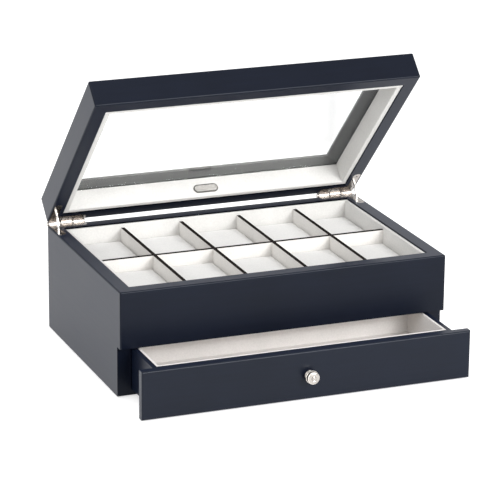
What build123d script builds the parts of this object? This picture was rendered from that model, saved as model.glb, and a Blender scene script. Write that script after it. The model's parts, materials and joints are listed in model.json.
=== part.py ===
from build123d import *
import math
import os

# Watch box with a drawer: ten cushioned compartments under a glazed lid, over one shallow drawer.
# Millimetres, +Z up, +X to the right, and the front faces -Y.
# The origin is at the middle of the face that the box rests on.
# The solids stand as in the photograph: the lid half open and the drawer a little way out.

# Case
WIDTH = 318.0
DEPTH = 211.4
PAD = 1.0
SIDE_HEIGHT = 100.8
WALL = 13.2
EDGE_ROUND = 1.4
RIM_EASE = 0.4
PANEL_UNDERSIDE = 48.1
NOTCH = 8.6
HOUSING = 4.0
BASE_THICK = 5.0
FLOOR_BOTTOM = 52.0
FLOOR_THICK = 4.0

# Lining and dividers of the upper tray
CASE_LINING = 3.2
LINING_DROP = 1.2
SHEET = 1.2
DIVIDER_THICK = 3.4
DIVIDER_DROP = 4.4
DIVIDER_PITCH = 59.3
LAP_PLAY = 0.05

# Cushions
CUSHION_GAP = 0.6
CUSHION_LIFT = 0.3
CUSHION_TOP = 86.4
CUSHION_DRAWN = 0.8
CUSHION_CROWN = 1.6
CUSHION_CROWN_START = 7.0
CUSHION_CROWN_END = 16.0
CUSHION_CORNER = 2.4
CUSHION_TOP_ROUND = 1.6
CUSHION_FOOT_ROUND = 2.6

# Lid
LID_GAP = 0.8
LID_HEIGHT = 26.4
LIP_UNDERSIDE = 21.6
LIP_REACH = 31.4
GLASS_THICK = 2.5
GLASS_SEAT = 15.0
GLASS_PLAY = 0.3
LID_LINING = 5.0
LID_LINING_DROP = 0.8
LID_LINING_GAP = 0.6
LINING_ROUND = 0.8
LID_OPEN = 45.6
LID_STOP = 92.0

# Plaque on the lid's back lining
PLAQUE_LENGTH = 25.0
PLAQUE_HEIGHT = 9.0
PLAQUE_THICK = 0.8
PLAQUE_DROP = 9.4

# Hinges with stay arms, measured from the outer corner of each rim
HINGE_SETBACK = 3.3
LEAF_THICK = 1.2
LEAF_EDGE = 1.5
LEAF_SIDE_WIDTH = 7.6
LEAF_SIDE_LENGTH = 32.0
LEAF_BACK_WIDTH = 8.4
LEAF_BACK_LENGTH = 38.0
LEAF_END_ROUND = 3.4
LEAF_INSIDE_ROUND = 2.0
BARREL_RADIUS = 2.4
KNUCKLE_GAP = 0.25
PIN_RADIUS = 1.2
PIN_FIXED_PLAY = 0.02
PIN_RUNNING_PLAY = 0.06
PIN_HEAD_RADIUS = 1.8
PIN_HEAD_LENGTH = 0.7
ARM_RADIUS = 20.7
ARM_WIDTH = 2.4
ARM_THICK = 1.3
ARM_END_RADIUS = 1.8
ARM_PLAY = 0.3

# Screws, plain and many-sided because they are small. The hinges have countersunk ones.
SCREW_SIDES = 8
SCREW_HEAD_RADIUS = 2.3
SCREW_SHANK_RADIUS = 1.1
SCREW_SHANK_LENGTH = 7.2
SCREW_PLAY = 0.03
SIDE_LEG_SCREWS = (8.0, 27.2)
BACK_LEG_SCREWS = (20.0, 33.4)

# Drawer
DRAWER_OUT = 57.0
FRONT_THICK = 8.0
FRONT_BOTTOM = 1.4
FRONT_TOP = 46.8
FRONT_END_PLAY = 0.15
FRONT_ROUND = 1.4
FRONT_BACK_ROUND = 0.6
BOX_BOTTOM = 6.2
BOX_TOP = 45.6
BOX_END = 5.0
BOX_SIDE = 4.5
BOX_SIDE_PLAY = 0.8
BOX_BACK_PLAY = 1.0
BOX_EASE = 0.4
DRAWER_BOARD = 3.0
DRAWER_BOARD_BOTTOM = 14.0
DRAWER_GROOVE = 2.2
DRAWER_FLOOR_SHEET = 1.4
DRAWER_LINING = 2.3
FRONT_SECTION = 76.0
PARTITION_THICK = 3.6
PARTITION_DROP = 1.0

# Knob on the drawer front, distances out from the face
KNOB_HEIGHT = 24.1
KNOB_FOOT_RADIUS = 4.8
KNOB_FOOT = 1.2
KNOB_NECK_START = 1.8
KNOB_NECK_RADIUS = 2.9
KNOB_NECK_END = 3.4
KNOB_COLLAR_RADIUS = 6.1
KNOB_COLLAR_START = 4.6
KNOB_COLLAR_END = 6.4
KNOB_GROOVE_RADIUS = 4.9
KNOB_HEAD_START = 7.4
KNOB_HEAD_RADIUS = 5.8
KNOB_FACE = 11.2
KNOB_FACE_RADIUS = 4.6
KNOB_DOME = 0.8
KNOB_SCREW_RADIUS = 1.9
KNOB_SCREW_HEAD_RADIUS = 3.6
KNOB_SCREW_HEAD = 1.8
KNOB_SCREW_BITE = 6.0

# Heights and half sizes that follow from the driving dimensions
HALF_W = WIDTH / 2
HALF_D = DEPTH / 2
CASE_TOP = PAD + SIDE_HEIGHT
LID_BASE = CASE_TOP + LID_GAP
INNER_W = HALF_W - WALL
INNER_D = HALF_D - WALL
FLOOR_TOP = FLOOR_BOTTOM + FLOOR_THICK
LINED_W = INNER_W - CASE_LINING
LINED_D = INNER_D - CASE_LINING
LINING_TOP = CASE_TOP - LINING_DROP
SHEET_TOP = FLOOR_TOP + SHEET
DIVIDER_TOP = CASE_TOP - DIVIDER_DROP
LAP_HEIGHT = (SHEET_TOP + DIVIDER_TOP) / 2
HINGE_Y = HALF_D + HINGE_SETBACK
HINGE_Z = CASE_TOP + LID_GAP / 2
DIVIDER_X = [(column - 1.5) * DIVIDER_PITCH for column in range(4)]
SHELL_REACH = 40.0
BEYOND = 5.0

HINGE_AXIS = Axis((0, HINGE_Y, HINGE_Z), (-1, 0, 0))
LEAF_SIDE_MIDDLE = LEAF_EDGE + LEAF_SIDE_WIDTH / 2
SLOT_DISTANCE = ARM_RADIUS - HINGE_SETBACK
ARM_SINK = LEAF_THICK + LID_GAP / 2 + ARM_END_RADIUS + ARM_PLAY
ARM_HALF_SPAN = LID_STOP / 2 + math.degrees(math.asin(ARM_SINK / ARM_RADIUS))
COUNTERSINK_SLOPE = math.degrees(math.atan((SCREW_HEAD_RADIUS - SCREW_SHANK_RADIUS) / LEAF_THICK))
SCREW_SPOTS = [(LEAF_SIDE_MIDDLE, forward) for forward in SIDE_LEG_SCREWS]
SCREW_SPOTS += [(across, LEAF_BACK_WIDTH / 2) for across in BACK_LEG_SCREWS]

os.makedirs("parts", exist_ok=True)


def save(solid, name):
    """Label a finished piece and write it under its own name."""
    solid.label = name
    export_step(solid, f"parts/{name}.step")


def save_open(solid, name):
    """Turn a piece of the closed lid about the hinge axis to the photographed angle, and save it."""
    save(solid.rotate(HINGE_AXIS, LID_OPEN), name)


def save_both(solid, name, save_one=save):
    """Save a left-hand piece and its mirror image on the right."""
    save_one(solid, f"{name}_left")
    save_one(solid.mirror(Plane.YZ), f"{name}_right")


def corner_point(across, forward):
    """Place a point given from the left back corner of the rims: across the back, then forward."""
    return (-HALF_W + across, HALF_D - forward)


def mitre_outline(side):
    """Plan outline that holds one wall of a frame up to its two mitres."""
    turns = [(-1, -1), (1, -1), (1, 1), (-1, 1)]
    outer = [(HALF_W * x, HALF_D * y) for x, y in turns]
    inner = [((HALF_W - SHELL_REACH) * x, (HALF_D - SHELL_REACH) * y) for x, y in turns]
    start = ["front", "right", "back", "left"].index(side)
    end = (start + 1) % 4
    return [outer[start], outer[end], inner[end], inner[start]]


def leaf_sketch():
    """L-shaped outline of a hinge leaf, with its long ends rounded."""
    with BuildSketch() as outline:
        with BuildLine():
            Polyline(
                corner_point(LEAF_EDGE, 0),
                corner_point(LEAF_BACK_LENGTH, 0),
                corner_point(LEAF_BACK_LENGTH, LEAF_BACK_WIDTH),
                corner_point(LEAF_EDGE + LEAF_SIDE_WIDTH, LEAF_BACK_WIDTH),
                corner_point(LEAF_EDGE + LEAF_SIDE_WIDTH, LEAF_SIDE_LENGTH),
                corner_point(LEAF_EDGE, LEAF_SIDE_LENGTH),
                close=True,
            )
        make_face()
        side_end = outline.vertices().group_by(Axis.Y)[0]
        back_end = outline.vertices().group_by(Axis.X)[-1]
        fillet(side_end + back_end, LEAF_END_ROUND)
        inside = outline.vertices().sort_by_distance(
            (*corner_point(LEAF_EDGE + LEAF_SIDE_WIDTH, LEAF_BACK_WIDTH), 0)
        )[0]
        fillet(inside, LEAF_INSIDE_ROUND)
    return outline.sketch


def arc_sketch(middle, half_span, width):
    """Round-ended arc about the hinge axis on a plane across X, with angles up from straight ahead."""
    with BuildSketch() as band:
        with BuildLine():
            path = CenterArc((HINGE_Y, HINGE_Z), ARM_RADIUS, 180 - middle - half_span, 2 * half_span)
        SlotArc(path, width)
    return band.sketch


def leaf_screws(play=0.0):
    """The countersunk screws of the left lid leaf, or their holes where a play is given."""
    places = [corner_point(*spot) for spot in SCREW_SPOTS]
    with BuildPart() as screws:
        with BuildSketch(Plane.XY.offset(LID_BASE)):
            with Locations(*places):
                RegularPolygon(SCREW_HEAD_RADIUS + play, SCREW_SIDES)
        extrude(amount=LEAF_THICK, taper=COUNTERSINK_SLOPE)
        with BuildSketch(Plane.XY.offset(LID_BASE)):
            with Locations(*places):
                RegularPolygon(SCREW_SHANK_RADIUS + play, SCREW_SIDES)
        extrude(amount=LEAF_THICK + SCREW_SHANK_LENGTH + play)
    return screws.part


def hinge_cutter():
    """Everything that the left hinge takes out of the lid: leaf recess, arm pocket and screw pilots."""
    with BuildPart() as cutter:
        with BuildSketch(Plane.XY.offset(LID_BASE)):
            add(LEAF)
        extrude(amount=LEAF_THICK)
        with BuildSketch(Plane.YZ.offset(-HALF_W + LEAF_SIDE_MIDDLE)):
            add(arc_sketch(ARM_HALF_SPAN / 2, ARM_HALF_SPAN / 2, 2 * (ARM_END_RADIUS + ARM_PLAY)))
        extrude(amount=ARM_THICK / 2 + ARM_PLAY, both=True)
        add(SCREW_HOLES)
    return cutter.part


# The case's half of each hinge is the lid's half mirrored in the plane between the two rims.
CLOSING_PLANE = Plane.XY.offset(HINGE_Z)
LEAF = leaf_sketch()
SCREW_HOLES = leaf_screws(SCREW_PLAY)
LID_CUTTER = hinge_cutter()
CASE_CUTTER = LID_CUTTER.mirror(CLOSING_PLANE)

# The four case walls are cut from one shell, so that their rounded edges meet at the mitres.
with BuildPart() as case_shell:
    with BuildSketch(Plane.XY.offset(PAD)):
        Rectangle(WIDTH, DEPTH)
    extrude(amount=SIDE_HEIGHT)
    fillet(case_shell.edges().filter_by(Axis.Z) + case_shell.edges().group_by(Axis.Z)[-1], EDGE_ROUND)
    with BuildSketch(Plane.XY.offset(PAD)):
        Rectangle(2 * INNER_W, 2 * INNER_D)
    extrude(amount=SIDE_HEIGHT, mode=Mode.SUBTRACT)
    chamfer(case_shell.faces().sort_by(Axis.Z)[-1].inner_wires()[0].edges(), RIM_EASE)
    # The notch takes the drawer front, and the bay behind it takes the drawer box.
    with BuildSketch(Plane.XY.offset(PAD)):
        with Locations((0, -HALF_D)):
            Rectangle(WIDTH + BEYOND, 2 * NOTCH)
            Rectangle(2 * INNER_W, 2 * WALL)
    extrude(amount=PANEL_UNDERSIDE - PAD, mode=Mode.SUBTRACT)
    # The base sits in a rabbet, and the tray's floor in a groove all round.
    with BuildSketch(Plane.XY.offset(PAD)):
        with Locations((0, (NOTCH + HOUSING - WALL) / 2)):
            Rectangle(2 * (INNER_W + HOUSING), DEPTH - NOTCH - WALL + HOUSING)
    extrude(amount=BASE_THICK, mode=Mode.SUBTRACT)
    with BuildSketch(Plane.XY.offset(FLOOR_BOTTOM)):
        Rectangle(2 * (INNER_W + HOUSING), 2 * (INNER_D + HOUSING))
    extrude(amount=FLOOR_THICK, mode=Mode.SUBTRACT)
    add(CASE_CUTTER, mode=Mode.SUBTRACT)
    add(CASE_CUTTER.mirror(Plane.YZ), mode=Mode.SUBTRACT)

# Side panels run past the front panel below it, down to the base.
with BuildPart() as side_panel:
    with BuildSketch(Plane.XY.offset(PAD)):
        Polygon(*mitre_outline("left"), align=None)
    extrude(amount=SIDE_HEIGHT)
    with BuildSketch(Plane.XY.offset(PAD)):
        with Locations((-HALF_W, -HALF_D)):
            Rectangle(WALL, 2 * WALL, align=(Align.MIN, Align.CENTER))
    extrude(amount=PANEL_UNDERSIDE - PAD)
    add(case_shell.part, mode=Mode.INTERSECT)
save_both(side_panel.part, "side_panel")

with BuildPart() as back_panel:
    with BuildSketch(Plane.XY.offset(PAD)):
        Polygon(*mitre_outline("back"), align=None)
    extrude(amount=SIDE_HEIGHT)
    add(case_shell.part, mode=Mode.INTERSECT)
save(back_panel.part, "back_panel")

with BuildPart() as front_panel:
    with BuildSketch(Plane.XY.offset(PANEL_UNDERSIDE)):
        Polygon(*mitre_outline("front"), align=None)
    extrude(amount=SIDE_HEIGHT)
    add(case_shell.part, mode=Mode.INTERSECT)
save(front_panel.part, "front_panel")

with BuildPart() as base_panel:
    with BuildSketch(Plane.XY.offset(PAD)):
        with Locations((0, (NOTCH + HOUSING - WALL) / 2)):
            Rectangle(2 * (INNER_W + HOUSING), DEPTH - NOTCH - WALL + HOUSING)
    extrude(amount=BASE_THICK)
save(base_panel.part, "base_panel")

with BuildPart() as base_felt:
    with BuildSketch():
        RectangleRounded(2 * INNER_W, 2 * INNER_D, EDGE_ROUND)
    extrude(amount=PAD)
save(base_felt.part, "base_felt")

with BuildPart() as compartment_floor:
    with BuildSketch(Plane.XY.offset(FLOOR_BOTTOM)):
        Rectangle(2 * (INNER_W + HOUSING), 2 * (INNER_D + HOUSING))
    extrude(amount=FLOOR_THICK)
save(compartment_floor.part, "compartment_floor")

# Lining boards of the tray stand on its floor, the long ones from wall to wall.
for name, forward in (("case_lining_front", -1), ("case_lining_back", 1)):
    with BuildPart() as case_end_lining:
        with BuildSketch(Plane.XY.offset(FLOOR_TOP)):
            with Locations((0, forward * (INNER_D - CASE_LINING / 2))):
                Rectangle(2 * INNER_W, CASE_LINING)
        extrude(amount=LINING_TOP - FLOOR_TOP)
        fillet(case_end_lining.edges().group_by(Axis.Z)[-1].filter_by(Axis.X), LINING_ROUND)
    save(case_end_lining.part, name)

with BuildPart() as case_side_lining:
    with BuildSketch(Plane.XY.offset(FLOOR_TOP)):
        with Locations((-INNER_W + CASE_LINING / 2, 0)):
            Rectangle(CASE_LINING, 2 * LINED_D)
    extrude(amount=LINING_TOP - FLOOR_TOP)
    fillet(case_side_lining.edges().group_by(Axis.Z)[-1].filter_by(Axis.Y), LINING_ROUND)
save_both(case_side_lining.part, "case_lining")

with BuildPart() as compartment_lining:
    with BuildSketch(Plane.XY.offset(FLOOR_TOP)):
        Rectangle(2 * LINED_W, 2 * LINED_D)
    extrude(amount=SHEET)
save(compartment_lining.part, "compartment_lining")

# The long dividers are slotted from below and the cross divider from above, and lap at each crossing.
for number, x in enumerate(DIVIDER_X, start=1):
    with BuildPart() as long_divider:
        with BuildSketch(Plane.XY.offset(SHEET_TOP)):
            with Locations((x, 0)):
                Rectangle(DIVIDER_THICK, 2 * LINED_D)
        extrude(amount=DIVIDER_TOP - SHEET_TOP)
        with BuildSketch(Plane.XY.offset(SHEET_TOP)):
            with Locations((x, 0)):
                Rectangle(DIVIDER_THICK, DIVIDER_THICK + 2 * LAP_PLAY)
        extrude(amount=LAP_HEIGHT + LAP_PLAY - SHEET_TOP, mode=Mode.SUBTRACT)
    save(long_divider.part, f"long_divider_{number}")

with BuildPart() as cross_divider:
    with BuildSketch(Plane.XY.offset(SHEET_TOP)):
        Rectangle(2 * LINED_W, DIVIDER_THICK)
    extrude(amount=DIVIDER_TOP - SHEET_TOP)
    with BuildSketch(Plane.XY.offset(LAP_HEIGHT - LAP_PLAY)):
        with Locations(*[(x, 0) for x in DIVIDER_X]):
            Rectangle(DIVIDER_THICK + 2 * LAP_PLAY, DIVIDER_THICK)
    extrude(amount=DIVIDER_TOP - LAP_HEIGHT + LAP_PLAY, mode=Mode.SUBTRACT)
save(cross_divider.part, "cross_divider")


def cushion_outline(centre, half_x, half_y):
    """Plan outline of a cushion with its corners cut off and each side drawn in along its middle."""
    corners = [centre + Vector(half_x * x, half_y * y) for x, y in ((-1, -1), (1, -1), (1, 1), (-1, 1))]
    outline = []
    for index, corner in enumerate(corners):
        side = corners[(index + 1) % 4] - corner
        along = side.normalized()
        inward = Vector(-along.Y, along.X) * CUSHION_DRAWN
        outline.append(corner + along * CUSHION_CORNER)
        outline.append(corner + side / 3 + inward)
        outline.append(corner + side * 2 / 3 + inward)
        outline.append(corner + side - along * CUSHION_CORNER)
    return [(point.X, point.Y) for point in outline]


def watch_cushion(low, high, row):
    """Block cushion between two walls of its column: sides drawn in, corners full, top crowned."""
    near = DIVIDER_THICK / 2 + CUSHION_GAP
    far = LINED_D - CUSHION_GAP
    middle_y = (near + far) / 2 if row == "back" else -(near + far) / 2
    centre = Vector((low + high) / 2, middle_y)
    half_x, half_y = (high - low) / 2 - CUSHION_GAP, (far - near) / 2
    shoulder = CUSHION_TOP - CUSHION_CROWN
    levels = [
        (CUSHION_FOOT_ROUND, SHEET_TOP + CUSHION_LIFT),
        (0, SHEET_TOP + CUSHION_LIFT + CUSHION_FOOT_ROUND),
        (0, shoulder - CUSHION_TOP_ROUND),
        (CUSHION_TOP_ROUND, shoulder),
        (CUSHION_CROWN_START, CUSHION_TOP - CUSHION_CROWN / 4),
        (CUSHION_CROWN_END, CUSHION_TOP),
    ]
    with BuildPart() as cushion:
        for inset, height in levels:
            with BuildSketch(Plane.XY.offset(height)):
                Polygon(*cushion_outline(centre, half_x - inset, half_y - inset), align=None)
        loft(ruled=True)
    return cushion.part


# One cushion fills each compartment, and they are numbered from the left.
column_walls = [-LINED_W]
for x in DIVIDER_X:
    column_walls += [x - DIVIDER_THICK / 2, x + DIVIDER_THICK / 2]
column_walls.append(LINED_W)
for column in range(5):
    for row in ("back", "front"):
        cushion = watch_cushion(column_walls[2 * column], column_walls[2 * column + 1], row)
        save(cushion, f"cushion_{row}_{column + 1}")

# The lid's four rails are cut from one closed shell with its lip and the seat for the glass.
with BuildPart() as lid_shell:
    with BuildSketch(Plane.XY.offset(LID_BASE)):
        Rectangle(WIDTH, DEPTH)
    extrude(amount=LID_HEIGHT)
    fillet(lid_shell.edges(), EDGE_ROUND)
    with BuildSketch(Plane.XY.offset(LID_BASE)):
        Rectangle(2 * INNER_W, 2 * INNER_D)
    extrude(amount=LIP_UNDERSIDE, mode=Mode.SUBTRACT)
    with BuildSketch(Plane.XY.offset(LID_BASE)):
        Rectangle(WIDTH - 2 * LIP_REACH, DEPTH - 2 * LIP_REACH)
    extrude(amount=LID_HEIGHT, mode=Mode.SUBTRACT)
    chamfer(lid_shell.faces().sort_by(Axis.Z)[-1].inner_wires()[0].edges(), RIM_EASE)
    chamfer(lid_shell.faces().sort_by(Axis.Z)[0].inner_wires()[0].edges(), RIM_EASE)
    with BuildSketch(Plane.XY.offset(LID_BASE + LIP_UNDERSIDE)):
        Rectangle(WIDTH - 2 * (LIP_REACH - GLASS_SEAT), DEPTH - 2 * (LIP_REACH - GLASS_SEAT))
    extrude(amount=GLASS_THICK, mode=Mode.SUBTRACT)
    add(LID_CUTTER, mode=Mode.SUBTRACT)
    add(LID_CUTTER.mirror(Plane.YZ), mode=Mode.SUBTRACT)

for side in ("front", "back", "left", "right"):
    with BuildPart() as lid_rail:
        with BuildSketch(Plane.XY.offset(LID_BASE)):
            Polygon(*mitre_outline(side), align=None)
        extrude(amount=LID_HEIGHT)
        add(lid_shell.part, mode=Mode.INTERSECT)
    save_open(lid_rail.part, f"lid_rail_{side}")

with BuildPart() as lid_glass:
    with BuildSketch(Plane.XY.offset(LID_BASE + LIP_UNDERSIDE)):
        seat_inset = 2 * (LIP_REACH - GLASS_SEAT + GLASS_PLAY)
        Rectangle(WIDTH - seat_inset, DEPTH - seat_inset)
    extrude(amount=GLASS_THICK)
save_open(lid_glass.part, "lid_glass")

LID_LINING_BASE = LID_BASE + LID_LINING_DROP
LID_LINING_HEIGHT = LIP_UNDERSIDE - LID_LINING_DROP - LID_LINING_GAP
for name, forward in (("lid_lining_front", -1), ("lid_lining_back", 1)):
    with BuildPart() as lid_end_lining:
        with BuildSketch(Plane.XY.offset(LID_LINING_BASE)):
            with Locations((0, forward * (INNER_D - LID_LINING / 2))):
                Rectangle(2 * INNER_W, LID_LINING)
        extrude(amount=LID_LINING_HEIGHT)
        fillet(lid_end_lining.edges().group_by(Axis.Z)[0].filter_by(Axis.X), LINING_ROUND)
    save_open(lid_end_lining.part, name)

with BuildPart() as lid_side_lining:
    with BuildSketch(Plane.XY.offset(LID_LINING_BASE)):
        with Locations((-INNER_W + LID_LINING / 2, 0)):
            Rectangle(LID_LINING, 2 * (INNER_D - LID_LINING))
    extrude(amount=LID_LINING_HEIGHT)
    fillet(lid_side_lining.edges().group_by(Axis.Z)[0].filter_by(Axis.Y), LINING_ROUND)
save_both(lid_side_lining.part, "lid_lining", save_open)

# The plaque is bare, and stands on the lid's back lining under the glass.
PLAQUE_PLANE = Plane(
    origin=(0, INNER_D - LID_LINING, LID_BASE + PLAQUE_DROP), x_dir=(1, 0, 0), z_dir=(0, -1, 0)
)
with BuildPart() as plaque:
    with BuildSketch(PLAQUE_PLANE):
        SlotOverall(PLAQUE_LENGTH, PLAQUE_HEIGHT)
    extrude(amount=PLAQUE_THICK)
    chamfer(plaque.faces().sort_by(Axis.Y)[0].edges(), PLAQUE_THICK / 3)
save_open(plaque.part, "plaque")


def hinge_leaf(into_lid):
    """Left leaf with its knuckles, arm slot and countersunk holes, let into the rim that it lies on."""
    surface = LID_BASE if into_lid else CASE_TOP
    inward = 1 if into_lid else -1
    length = LEAF_BACK_LENGTH - LEAF_EDGE
    knuckle = length / 3
    slots = [1] if into_lid else [0, 2]
    play = PIN_RUNNING_PLAY if into_lid else PIN_FIXED_PLAY
    with BuildPart() as leaf:
        with BuildSketch(Plane.XY.offset(surface)):
            add(LEAF)
        extrude(amount=inward * LEAF_THICK)
        for slot in slots:
            start = -HALF_W + LEAF_EDGE + slot * knuckle + KNUCKLE_GAP / 2
            width = knuckle - KNUCKLE_GAP
            with BuildSketch(Plane.YZ.offset(start)):
                with Locations((HINGE_Y, HINGE_Z)):
                    Circle(BARREL_RADIUS)
                with Locations((HALF_D + HINGE_SETBACK / 2, surface + inward * LEAF_THICK / 2)):
                    Rectangle(HINGE_SETBACK, LEAF_THICK)
            extrude(amount=width)
        with BuildSketch(Plane.YZ.offset(-HALF_W)):
            with Locations((HINGE_Y, HINGE_Z)):
                Circle(PIN_RADIUS + play)
        extrude(amount=2 * LEAF_BACK_LENGTH, mode=Mode.SUBTRACT)
        with BuildSketch(Plane.XY.offset(surface)):
            with Locations(corner_point(LEAF_SIDE_MIDDLE, SLOT_DISTANCE)):
                Rectangle(ARM_THICK + 2 * ARM_PLAY, ARM_WIDTH + 2 * ARM_PLAY)
        extrude(amount=inward * LEAF_THICK, mode=Mode.SUBTRACT)
        # Each countersink opens on the face that the other leaf closes on.
        add(SCREW_HOLES if into_lid else SCREW_HOLES.mirror(CLOSING_PLANE), mode=Mode.SUBTRACT)
    return leaf.part


save_both(hinge_leaf(into_lid=False), "case_leaf")
save_both(hinge_leaf(into_lid=True), "lid_leaf", save_open)

# Each pin is driven in from the left. The case leaf's knuckles hold it, and it turns in the lid leaf's.
with BuildPart() as hinge_pin:
    with BuildSketch(Plane.YZ.offset(-HALF_W + LEAF_EDGE)):
        with Locations((HINGE_Y, HINGE_Z)):
            Circle(PIN_RADIUS)
    extrude(amount=LEAF_BACK_LENGTH - LEAF_EDGE)
    with BuildSketch(Plane.YZ.offset(-HALF_W + LEAF_EDGE)):
        with Locations((HINGE_Y, HINGE_Z)):
            Circle(PIN_HEAD_RADIUS)
    extrude(amount=-PIN_HEAD_LENGTH)
save(hinge_pin.part, "hinge_pin_left")
save(hinge_pin.part.translate((WIDTH - LEAF_EDGE - LEAF_BACK_LENGTH, 0, 0)), "hinge_pin_right")

# A stay arm swings half as far as the lid, and its wider ends stop under the two leaves.
with BuildPart() as stay_arm:
    with BuildSketch(Plane.YZ.offset(-HALF_W + LEAF_SIDE_MIDDLE)):
        with BuildLine():
            sweep_start = 180 - LID_OPEN / 2 - ARM_HALF_SPAN
            band = CenterArc((HINGE_Y, HINGE_Z), ARM_RADIUS, sweep_start, 2 * ARM_HALF_SPAN)
        SlotArc(band, ARM_WIDTH)
        with Locations(band @ 0, band @ 1):
            Circle(ARM_END_RADIUS)
    extrude(amount=ARM_THICK / 2, both=True)
save_both(stay_arm.part, "stay_arm")

with BuildPart() as hinge_screws:
    add(leaf_screws())
    add(leaf_screws().mirror(Plane.YZ))
save(hinge_screws.part.mirror(CLOSING_PLANE), "case_hinge_screws")
save_open(hinge_screws.part, "lid_hinge_screws")

# The drawer's positions are those of the closed drawer, moved forward by DRAWER_OUT.
FACE_Y = -HALF_D - DRAWER_OUT
BOX_FRONT_Y = FACE_Y + FRONT_THICK
BOX_BACK_Y = INNER_D - BOX_BACK_PLAY - DRAWER_OUT
BOX_OUTER = INNER_W - BOX_SIDE_PLAY
BOX_INNER = BOX_OUTER - BOX_SIDE
LINING_FRONT_Y = BOX_FRONT_Y + BOX_END
LINING_BACK_Y = BOX_BACK_Y - BOX_END
DRAWER_FLOOR = DRAWER_BOARD_BOTTOM + DRAWER_BOARD + DRAWER_FLOOR_SHEET
PARTITION_Y = LINING_FRONT_Y + DRAWER_LINING + FRONT_SECTION + PARTITION_THICK / 2


def board(half_x, y_low, y_high, z_low, z_high, centre_x=0.0):
    """A plain board between limits, for the drawer's joinery."""
    with BuildPart() as blank:
        with BuildSketch(Plane.XY.offset(z_low)):
            with Locations((centre_x, (y_low + y_high) / 2)):
                Rectangle(2 * half_x, y_high - y_low)
        extrude(amount=z_high - z_low)
    return blank.part


with BuildPart() as drawer_front:
    add(board(HALF_W - FRONT_END_PLAY, FACE_Y, BOX_FRONT_Y, FRONT_BOTTOM, FRONT_TOP))
    fillet(drawer_front.faces().sort_by(Axis.Y)[0].edges(), FRONT_ROUND)
    fillet(drawer_front.faces().sort_by(Axis.Y)[-1].edges(), FRONT_BACK_ROUND)
    with BuildSketch(Plane.XZ.offset(-FACE_Y)):
        with Locations((0, KNOB_HEIGHT)):
            RegularPolygon(KNOB_SCREW_RADIUS + SCREW_PLAY, SCREW_SIDES)
    extrude(amount=-FRONT_THICK, mode=Mode.SUBTRACT)
save(drawer_front.part, "drawer_front")

with BuildPart() as drawer_box_front:
    add(board(BOX_INNER, BOX_FRONT_Y, LINING_FRONT_Y, BOX_BOTTOM, BOX_TOP))
    fillet(drawer_box_front.edges().group_by(Axis.Z)[-1].filter_by(Axis.X), BOX_EASE)
    with BuildSketch(Plane.XY.offset(DRAWER_BOARD_BOTTOM)):
        with Locations((0, LINING_FRONT_Y)):
            Rectangle(2 * BOX_INNER, 2 * DRAWER_GROOVE)
    extrude(amount=DRAWER_BOARD, mode=Mode.SUBTRACT)
    # The knob screw's head is let in from the inside.
    with BuildSketch(Plane.XZ.offset(-BOX_FRONT_Y)):
        with Locations((0, KNOB_HEIGHT)):
            RegularPolygon(KNOB_SCREW_RADIUS + SCREW_PLAY, SCREW_SIDES)
    extrude(amount=-BOX_END, mode=Mode.SUBTRACT)
    with BuildSketch(Plane.XZ.offset(-LINING_FRONT_Y)):
        with Locations((0, KNOB_HEIGHT)):
            RegularPolygon(KNOB_SCREW_HEAD_RADIUS + SCREW_PLAY, SCREW_SIDES)
    extrude(amount=KNOB_SCREW_HEAD, mode=Mode.SUBTRACT)
save(drawer_box_front.part, "drawer_box_front")

with BuildPart() as drawer_box_back:
    add(board(BOX_INNER, LINING_BACK_Y, BOX_BACK_Y, BOX_BOTTOM, BOX_TOP))
    fillet(drawer_box_back.edges().group_by(Axis.Z)[-1].filter_by(Axis.X), BOX_EASE)
    with BuildSketch(Plane.XY.offset(DRAWER_BOARD_BOTTOM)):
        with Locations((0, LINING_BACK_Y)):
            Rectangle(2 * BOX_INNER, 2 * DRAWER_GROOVE)
    extrude(amount=DRAWER_BOARD, mode=Mode.SUBTRACT)
save(drawer_box_back.part, "drawer_box_back")

with BuildPart() as drawer_side:
    add(board(BOX_SIDE / 2, BOX_FRONT_Y, BOX_BACK_Y, BOX_BOTTOM, BOX_TOP, -BOX_INNER - BOX_SIDE / 2))
    fillet(drawer_side.edges().group_by(Axis.Z)[-1].filter_by(Axis.Y), BOX_EASE)
    with BuildSketch(Plane.XY.offset(DRAWER_BOARD_BOTTOM)):
        with Locations((-BOX_INNER, (LINING_FRONT_Y + LINING_BACK_Y) / 2)):
            Rectangle(2 * DRAWER_GROOVE, LINING_BACK_Y - LINING_FRONT_Y + 2 * DRAWER_GROOVE)
    extrude(amount=DRAWER_BOARD, mode=Mode.SUBTRACT)
save_both(drawer_side.part, "drawer_side")

with BuildPart() as drawer_bottom:
    groove_ends = (LINING_FRONT_Y - DRAWER_GROOVE, LINING_BACK_Y + DRAWER_GROOVE)
    board_faces = (DRAWER_BOARD_BOTTOM, DRAWER_BOARD_BOTTOM + DRAWER_BOARD)
    add(board(BOX_INNER + DRAWER_GROOVE, *groove_ends, *board_faces))
save(drawer_bottom.part, "drawer_bottom")

with BuildPart() as drawer_floor_lining:
    add(board(BOX_INNER, LINING_FRONT_Y, LINING_BACK_Y, DRAWER_FLOOR - DRAWER_FLOOR_SHEET, DRAWER_FLOOR))
save(drawer_floor_lining.part, "drawer_floor_lining")

with BuildPart() as drawer_side_linings:
    for side in (-1, 1):
        middle = side * (BOX_INNER - DRAWER_LINING / 2)
        add(board(DRAWER_LINING / 2, LINING_FRONT_Y, LINING_BACK_Y, DRAWER_FLOOR, BOX_TOP, middle))
    fillet(drawer_side_linings.edges().group_by(Axis.Z)[-1].filter_by(Axis.Y), BOX_EASE)
save(drawer_side_linings.part, "drawer_side_linings")

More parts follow.
